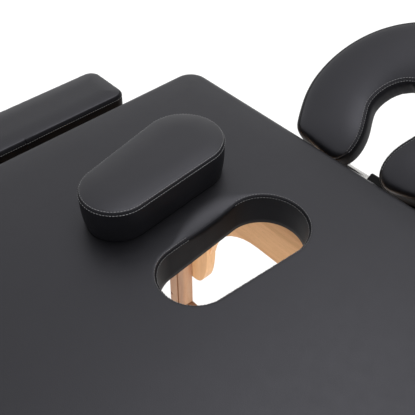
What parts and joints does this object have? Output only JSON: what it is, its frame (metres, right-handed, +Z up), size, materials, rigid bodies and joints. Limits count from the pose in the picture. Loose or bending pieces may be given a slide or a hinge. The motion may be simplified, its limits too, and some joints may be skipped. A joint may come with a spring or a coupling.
{
  "type": "folding massage table",
  "caption": "Padded wooden massage table that folds in the middle, with an oval face hole and its plug, a horseshoe headrest, side armrests and height-adjustable folding legs.",
  "frame": {"origin": "on the floor, at the centre of the whole part's footprint", "axes": "+X along the table towards the headrest, +Y to the left side seen from the foot end, +Z up"},
  "size_m": [2.1212, 0.939, 0.7432],
  "materials": {
    "leather": "smooth soft synthetic leather, satin",
    "plywood": "plain birch plywood",
    "beech": "clear satin lacquer",
    "red_beech": "clear satin lacquer, redder wood",
    "steel": "zinc plated",
    "aluminium": "satin anodised",
    "plastic": "moulded black",
    "rubber": "matt black",
    "webbing": "woven black webbing"
  },
  "bodies": {
    "foot_half": {"foot_pad": "leather", "foot_base_board": "plywood", "foot_side_rail_left": "beech", "foot_side_rail_right": "beech", "foot_end_rail": "beech", "foot_fold_rail": "beech", "foot_leg_axle": "steel", "fold_hinge_leaf_foot": "steel", "fold_hinge_pin": "steel", "carry_strap_foot": "webbing", "latch_stud_left": "steel", "latch_stud_right": "steel"},
    "head_half": {"head_pad": "leather", "head_base_board": "plywood", "head_side_rail_left": "beech", "head_side_rail_right": "beech", "head_end_rail": "beech", "head_fold_rail": "beech", "head_leg_axle": "steel", "fold_hinge_leaf_head": "steel", "carry_strap_head": "webbing"},
    "head_leg": {"head_upper_leg_left": "beech", "head_upper_leg_right": "beech", "head_leg_arch": "beech"},
    "head_leg_extension": {"head_lower_leg_left": "red_beech", "head_lower_leg_right": "red_beech", "head_stretcher": "red_beech", "head_rubber_foot_left": "rubber", "head_rubber_foot_right": "rubber"},
    "head_knob_left_upper": {"head_knob_left_upper": "plastic"},
    "head_knob_left_lower": {"head_knob_left_lower": "plastic"},
    "head_knob_right_upper": {"head_knob_right_upper": "plastic"},
    "head_knob_right_lower": {"head_knob_right_lower": "plastic"},
    "foot_leg": {"foot_upper_leg_left": "beech", "foot_upper_leg_right": "beech", "foot_leg_arch": "beech"},
    "foot_leg_extension": {"foot_lower_leg_left": "red_beech", "foot_lower_leg_right": "red_beech", "foot_stretcher": "red_beech", "foot_rubber_foot_left": "rubber", "foot_rubber_foot_right": "rubber"},
    "foot_knob_left_upper": {"foot_knob_left_upper": "plastic"},
    "foot_knob_left_lower": {"foot_knob_left_lower": "plastic"},
    "foot_knob_right_upper": {"foot_knob_right_upper": "plastic"},
    "foot_knob_right_lower": {"foot_knob_right_lower": "plastic"},
    "headrest_frame": {"headrest_frame": "aluminium"},
    "headrest_tilting": {"headrest_clamp_left": "plastic", "headrest_lock_clamp": "plastic", "headrest_plate": "plastic", "headrest_cushion": "leather"},
    "headrest_lock_lever": {"headrest_lock_lever": "plastic"},
    "face_hole_plug": {"face_hole_plug": "leather"},
    "armrest_left": {"armrest_pad_left": "leather", "armrest_board_left": "plywood", "armrest_rod_left": "steel"},
    "latch_hook_left": {"latch_hook_left": "steel"},
    "armrest_right": {"armrest_pad_right": "leather", "armrest_board_right": "plywood", "armrest_rod_right": "steel"},
    "latch_hook_right": {"latch_hook_right": "steel"}
  },
  "joints": [
    {"name": "table_fold", "type": "hinge", "parent": "foot_half", "child": "head_half", "pos_m": [-0.13058, 0, 0.4839], "axis": [0, 1, 0], "range_deg": [0, 180]},
    {"name": "head_leg_fold", "type": "hinge", "parent": "head_half", "child": "head_leg", "pos_m": [0.73642, 0, 0.5284], "axis": [0, 1, 0], "range_deg": [0, 90]},
    {"name": "head_leg_extend", "type": "slide", "parent": "head_leg", "child": "head_leg_extension", "axis": [0, 0, -1], "range_m": [0, 0.165]},
    {"name": "head_knob_left_upper_turn", "type": "hinge", "parent": "head_leg", "child": "head_knob_left_upper", "pos_m": [0.74772, 0.308, 0.3209], "axis": [1, 0, 0], "continuous": true},
    {"name": "head_knob_left_lower_turn", "type": "hinge", "parent": "head_leg", "child": "head_knob_left_lower", "pos_m": [0.74772, 0.308, 0.2459], "axis": [1, 0, 0], "continuous": true},
    {"name": "head_knob_right_upper_turn", "type": "hinge", "parent": "head_leg", "child": "head_knob_right_upper", "pos_m": [0.74772, -0.308, 0.3209], "axis": [1, 0, 0], "continuous": true},
    {"name": "head_knob_right_lower_turn", "type": "hinge", "parent": "head_leg", "child": "head_knob_right_lower", "pos_m": [0.74772, -0.308, 0.2459], "axis": [1, 0, 0], "continuous": true},
    {"name": "foot_leg_fold", "type": "hinge", "parent": "foot_half", "child": "foot_leg", "pos_m": [-0.99758, 0, 0.5284], "axis": [0, -1, 0], "range_deg": [0, 90]},
    {"name": "foot_leg_extend", "type": "slide", "parent": "foot_leg", "child": "foot_leg_extension", "axis": [0, 0, -1], "range_m": [0, 0.165]},
    {"name": "foot_knob_left_upper_turn", "type": "hinge", "parent": "foot_leg", "child": "foot_knob_left_upper", "pos_m": [-1.00888, 0.308, 0.3209], "axis": [-1, 0, 0], "continuous": true},
    {"name": "foot_knob_left_lower_turn", "type": "hinge", "parent": "foot_leg", "child": "foot_knob_left_lower", "pos_m": [-1.00888, 0.308, 0.2459], "axis": [-1, 0, 0], "continuous": true},
    {"name": "foot_knob_right_upper_turn", "type": "hinge", "parent": "foot_leg", "child": "foot_knob_right_upper", "pos_m": [-1.00888, -0.308, 0.3209], "axis": [-1, 0, 0], "continuous": true},
    {"name": "foot_knob_right_lower_turn", "type": "hinge", "parent": "foot_leg", "child": "foot_knob_right_lower", "pos_m": [-1.00888, -0.308, 0.2459], "axis": [-1, 0, 0], "continuous": true},
    {"name": "headrest_slide", "type": "slide", "parent": "head_half", "child": "headrest_frame", "axis": [1, 0, 0], "range_m": [0, 0.08]},
    {"name": "headrest_tilt", "type": "hinge", "parent": "headrest_frame", "child": "headrest_tilting", "pos_m": [0.85039, 0, 0.5539], "axis": [0, -1, 0], "range_deg": [-61.5, 8.5]},
    {"name": "headrest_lock_turn", "type": "hinge", "parent": "headrest_tilting", "child": "headrest_lock_lever", "pos_m": [0.86074, -0.043, 0.53702], "axis": [0, 1, 0], "range_deg": [0, 80]},
    {"name": "plug_lift", "type": "slide", "parent": "head_half", "child": "face_hole_plug", "axis": [0, 0, 1], "range_m": [0, 0.2]},
    {"name": "armrest_left_slide", "type": "slide", "parent": "head_half", "child": "armrest_left", "axis": [0, 1, 0], "range_m": [0, 0.1]},
    {"name": "latch_hook_left_swing", "type": "hinge", "parent": "head_half", "child": "latch_hook_left", "pos_m": [0.71642, 0.35255, 0.5154], "axis": [0, -1, 0], "range_deg": [0, 90]},
    {"name": "armrest_right_slide", "type": "slide", "parent": "head_half", "child": "armrest_right", "axis": [0, -1, 0], "range_m": [0, 0.1]},
    {"name": "latch_hook_right_swing", "type": "hinge", "parent": "head_half", "child": "latch_hook_right", "pos_m": [0.71642, -0.35255, 0.5154], "axis": [0, -1, 0], "range_deg": [0, 90]}
  ],
  "couplings": [
    {"joint": "head_leg_fold", "follows": "table_fold", "ratio": 0.5},
    {"joint": "foot_leg_fold", "follows": "table_fold", "ratio": 0.5}
  ]
}
